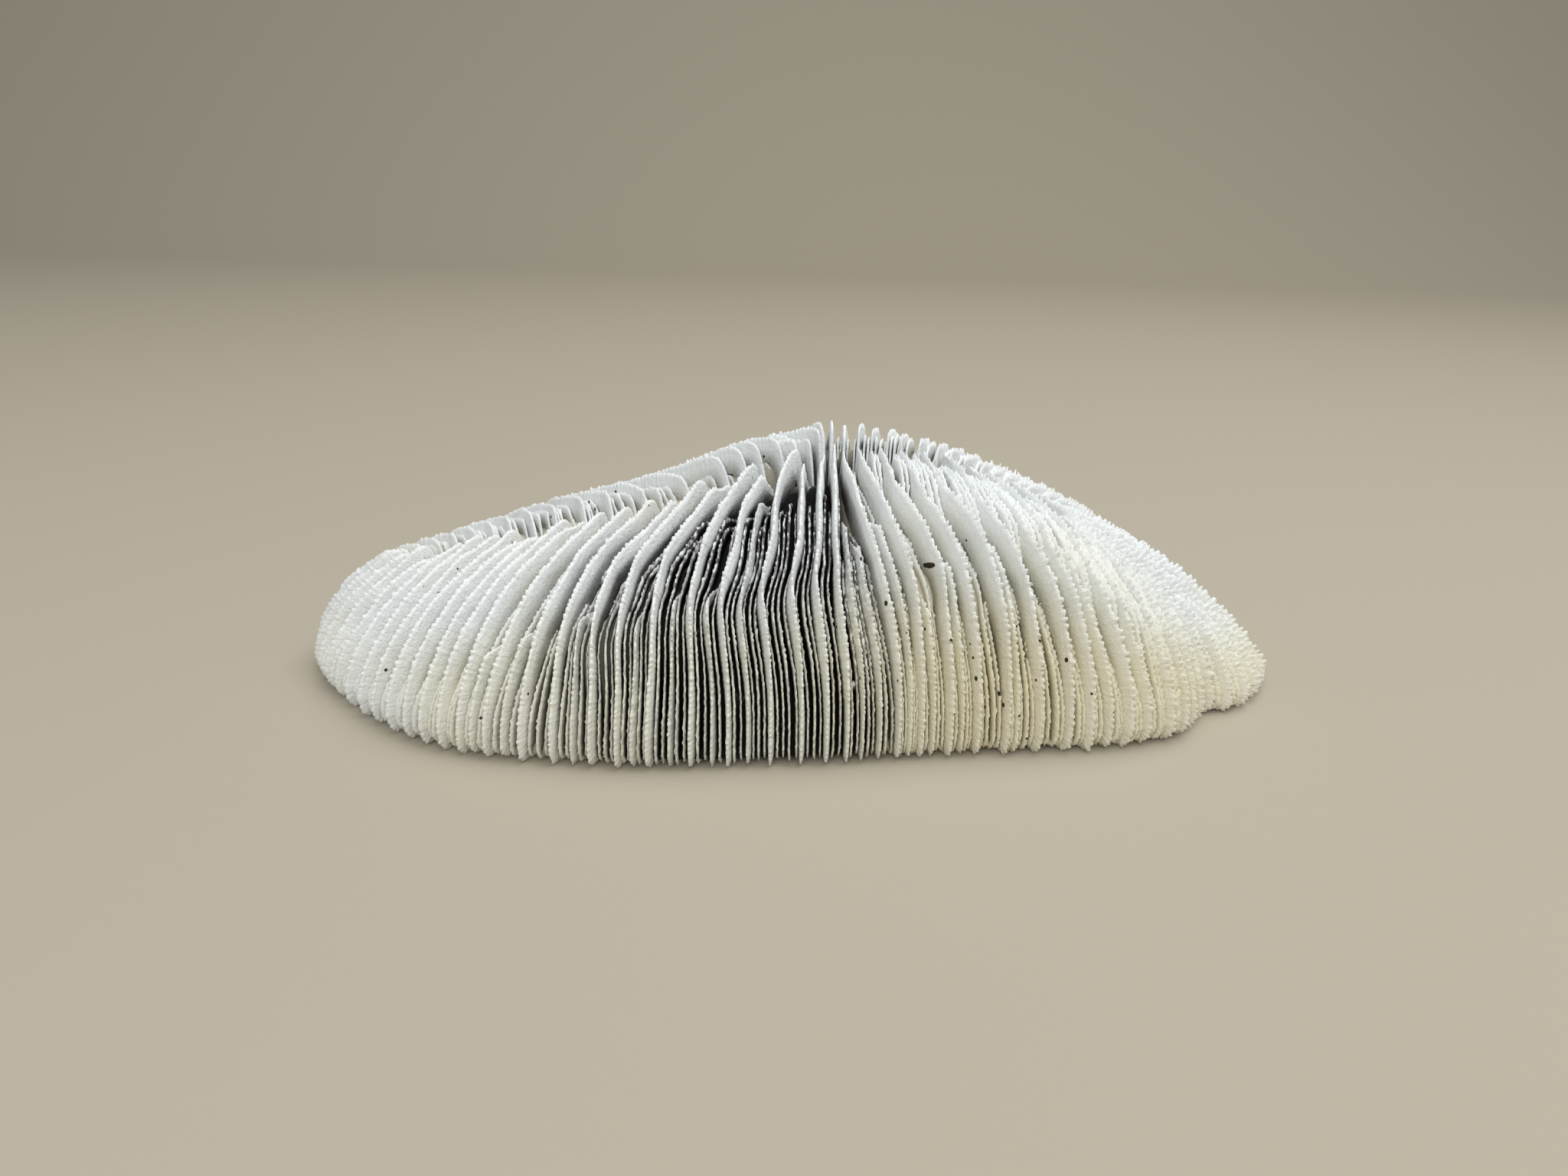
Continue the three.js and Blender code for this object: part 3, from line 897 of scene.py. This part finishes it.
def speckled(nodes, ragged):
    """1 in a speck of dirt, and less in the fine grit between them."""
    nearest = None
    for x, y, z, radius in SPECKS:
        distance = nodes.make("ShaderNodeVectorMath", operation="DISTANCE")
        nodes.put(distance.inputs[0], nodes.place)
        nodes.put(distance.inputs[1], (x * MM, y * MM, z * MM))
        outside = nodes.math("SUBTRACT", distance.outputs["Value"], radius * MM)
        nearest = outside if nearest is None else nodes.math("MINIMUM", nearest, outside)
    spot = nodes.math("SUBTRACT", 1.0, nodes.ramp(nodes.math("ADD", nearest, ragged), -0.00004, 0.00008))
    grit = nodes.make("ShaderNodeTexVoronoi")
    nodes.put(grit.inputs["Vector"], nodes.place)
    nodes.put(grit.inputs["Scale"], 260.0)
    split = nodes.make("ShaderNodeSeparateColor")
    nodes.put(split.inputs["Color"], grit.outputs["Color"])
    rare = nodes.math("GREATER_THAN", split.outputs["Red"], 0.9)
    grain = nodes.math("SUBTRACT", 1.0, nodes.ramp(grit.outputs["Distance"], 0.02, 0.05))
    tiny = nodes.math("MULTIPLY", nodes.math("MULTIPLY", rare, grain), 0.7)
    return nodes.math("MAXIMUM", spot, tiny, clamp=True)


def coral_material():
    material = bpy.data.materials.new("coral_aragonite")
    material.use_nodes = True
    shader = material.node_tree.nodes["Principled BSDF"]
    nodes = Nodes(material)
    deep, warm_base = nodes.attribute("deep"), nodes.attribute("warm")
    patches = nodes.noise(35.0, 3.0)
    mottle = nodes.noise(220.0, 3.0)
    fine = nodes.noise(900.0, 2.0)
    grain = nodes.noise(2200.0, 5.0)

    varied = nodes.math("MULTIPLY", nodes.math("SUBTRACT", patches, 0.5), 0.7)
    # Painted shade: deeper points are also made a little creamier.
    deeper = nodes.math("MULTIPLY", deep, 0.15)
    warm = nodes.math("ADD", nodes.math("ADD", warm_base, varied), deeper, clamp=True)
    colour = nodes.blend(WHITE, CREAM, warm)
    # Painted shade: the brownish crevice colour grows with each point's depth below its plate's edge.
    shade = nodes.math("ADD", nodes.math("MULTIPLY", warm_base, 0.7), 0.22)
    shaded = nodes.math("MULTIPLY", shade, nodes.ramp(deep, 0.25, 0.9), clamp=True)
    colour = nodes.blend(colour, CREVICE_SHADE, shaded)
    dusty = nodes.math("MULTIPLY", nodes.attribute("dust"), nodes.ramp(fine, 0.36, 0.6), clamp=True)
    colour = nodes.blend(colour, DUST, dusty)
    # Black paint deep in the gaps at the middle of the front: grime, and painted shade where the gaps are
    # deepest.
    grime_and_gap_shade = nodes.math("MULTIPLY", nodes.attribute("mouth"), nodes.ramp(deep, 0.2, 0.5))
    grime_and_gap_shade = nodes.math("MULTIPLY", grime_and_gap_shade, nodes.ramp(mottle, 0.1, 0.36), clamp=True)
    colour = nodes.blend(colour, GRIME_AND_SHADE, grime_and_gap_shade)
    ragged = nodes.math("MULTIPLY", nodes.math("SUBTRACT", mottle, 0.5), 0.0006)
    colour = nodes.blend(colour, SPECK, speckled(nodes, ragged))
    nodes.put(shader.inputs["Base Color"], colour)
    nodes.put(shader.inputs["Roughness"], nodes.math("ADD", nodes.math("MULTIPLY", grain, 0.2), 0.76))
    nodes.put(shader.inputs["Specular IOR Level"], 0.2)

    # Fine grain all over, and streaks that run down from each plate's edge.
    across = nodes.make("ShaderNodeCombineXYZ")
    nodes.put(across.inputs["X"], nodes.attribute("along"))
    nodes.put(across.inputs["Y"], nodes.math("MULTIPLY", nodes.attribute("below"), 0.22))
    streaks = nodes.noise(1.7, 2.0, across.outputs["Vector"])
    relief = nodes.math("ADD", grain, nodes.math("MULTIPLY", fine, 0.9))
    bump = nodes.make("ShaderNodeBump")
    nodes.put(bump.inputs["Strength"], 0.8)
    nodes.put(bump.inputs["Distance"], 0.00022)
    nodes.put(bump.inputs["Height"], nodes.math("ADD", relief, nodes.math("MULTIPLY", streaks, 0.8)))
    nodes.put(shader.inputs["Normal"], bump.outputs["Normal"])
    return material


# The photograph's camera: where it stood, how far it looked down, how far it was turned, and its lens.
CAMERA_PLACE = (-0.0019, -0.222, 0.1013)
CAMERA_DOWN = math.radians(20.5)
CAMERA_ROLL = math.radians(1.6)
LENS = 27.05
SENSOR = 36.0


def camera():
    data = bpy.data.cameras.new("camera")
    data.lens, data.sensor_width, data.sensor_fit = LENS, SENSOR, "HORIZONTAL"
    data.clip_start, data.clip_end = 0.005, 20.0
    ahead = np.array([0, math.cos(CAMERA_DOWN), -math.sin(CAMERA_DOWN)])
    right = np.array([1.0, 0, 0])
    up = np.array([0, math.sin(CAMERA_DOWN), math.cos(CAMERA_DOWN)])
    right, up = (math.cos(CAMERA_ROLL) * right + math.sin(CAMERA_ROLL) * up,
                 math.cos(CAMERA_ROLL) * up - math.sin(CAMERA_ROLL) * right)
    thing = bpy.data.objects.new("camera", data)
    bpy.context.scene.collection.objects.link(thing)
    matrix = Matrix(np.stack([right, up, -ahead], 1).tolist()).to_4x4()
    matrix.translation = CAMERA_PLACE
    thing.matrix_world = matrix
    bpy.context.scene.camera = thing


# The studio, in metres: the pale sweep's half width, front end, back and top, and the radius of its bend.
SWEEP_SIDE = 3.0
SWEEP_FRONT = -2.5
SWEEP_BACK = 1.4
SWEEP_TOP = 2.4
SWEEP_BEND = 0.6
SWEEP_STEPS = 24
FLOOR_COLOUR = (0.43, 0.385, 0.30, 1)
# Each light's place, what it points at, its size, its power and its colour.
LIGHTS = {
    "key": ((0.3, 0.05, 1.05), (0, 0, 0), (1.0, 0.9), 9.5, (1.0, 1.0, 1.0)),
    "front": ((-0.1, -1.2, 0.9), (0, 0, 0.02), (1.2, 0.7), 9.5, (0.97, 0.985, 1.0)),
}
SKY_COLOUR = (0.93, 0.96, 1.0, 1)
SKY_STRENGTH = 0.38


def area_light(name, place, aim, size, power, colour):
    data = bpy.data.lights.new(name, "AREA")
    data.shape, data.size, data.size_y = "RECTANGLE", size[0], size[1]
    data.energy, data.color = power, colour
    thing = bpy.data.objects.new(name, data)
    bpy.context.scene.collection.objects.link(thing)
    thing.location = place
    thing.rotation_mode = "QUATERNION"
    thing.rotation_quaternion = (Vector(aim) - Vector(place)).to_track_quat("-Z", "Y")


def sweep():
    """A pale sheet that is floor in front and backdrop behind."""
    turn = np.linspace(0, math.pi / 2, SWEEP_STEPS)
    y = np.concatenate([[SWEEP_FRONT], SWEEP_BACK - SWEEP_BEND + SWEEP_BEND * np.sin(turn), [SWEEP_BACK]])
    z = np.concatenate([[0.0], SWEEP_BEND - SWEEP_BEND * np.cos(turn), [SWEEP_TOP]])
    points = [(x, float(a), float(b)) for x in (-SWEEP_SIDE, SWEEP_SIDE) for a, b in zip(y, z)]
    count = len(y)
    faces = [(i, count + i, count + i + 1, i + 1) for i in range(count - 1)]
    mesh = bpy.data.meshes.new("sweep")
    mesh.from_pydata(points, [], faces)
    mesh.polygons.foreach_set("use_smooth", np.ones(len(mesh.polygons), bool))
    material = bpy.data.materials.new("pale_floor")
    material.use_nodes = True
    shader = material.node_tree.nodes["Principled BSDF"]
    shader.inputs["Base Color"].default_value = FLOOR_COLOUR
    shader.inputs["Roughness"].default_value = 0.9
    mesh.materials.append(material)
    floor = bpy.data.objects.new("sweep", mesh)
    bpy.context.scene.collection.objects.link(floor)


def studio():
    """The floor, and soft light from above and from the front."""
    sweep()
    for name, settings in LIGHTS.items():
        area_light(name, *settings)
    world = bpy.data.worlds.new("world")
    bpy.context.scene.world = world
    world.use_nodes = True
    background = world.node_tree.nodes["Background"]
    background.inputs["Color"].default_value = SKY_COLOUR
    background.inputs["Strength"].default_value = SKY_STRENGTH
    bpy.context.scene.view_settings.view_transform = "Standard"


# Edges sharper than this many degrees are shaded as edges. The wall is smooth all over.
PLATE_CREASE = 120.0
WALL_CREASE = 180.0


def coral():
    """All the plates, the wall and the chip, as five meshes."""
    rng = np.random.default_rng(SEED)
    noises = {
        "sway": Noise(rng, SWAY_CELLS, 6),
        "height": Noise(rng, HEIGHT_CELLS, 6),
        "own_sway": Noise(rng, OWN_LINES, 8),
        "own_height": Noise(rng, OWN_LINES, 9),
        "own_thick": Noise(rng, OWN_LINES, 12),
        "spines": Noise(rng, SEPTA * WALL_PER_SEPTUM, SPINE_CELLS),
    }
    names = [f"{kind}_septa_{side}" for kind in ("tall", "thin") for side in ("front", "back")]
    builders = {name: Builder(name) for name in [*names, "wall_and_underside"]}
    for place, order, start in all_septa(rng):
        if start is None:
            start = thin_start(place, order, rng)
        plate = Plate(place, order, start, noises, rng)
        kind, side = "tall" if plate.tall else "thin", "front" if plate.front else "back"
        plate.build(rng, builders[f"{kind}_septa_{side}"])
    wall(noises, builders["wall_and_underside"])
    chip(rng, builders["tall_septa_front"])
    material = coral_material()
    for name, builder in builders.items():
        builder.finish(material, WALL_CREASE if name == "wall_and_underside" else PLATE_CREASE)


coral()
camera()
studio()
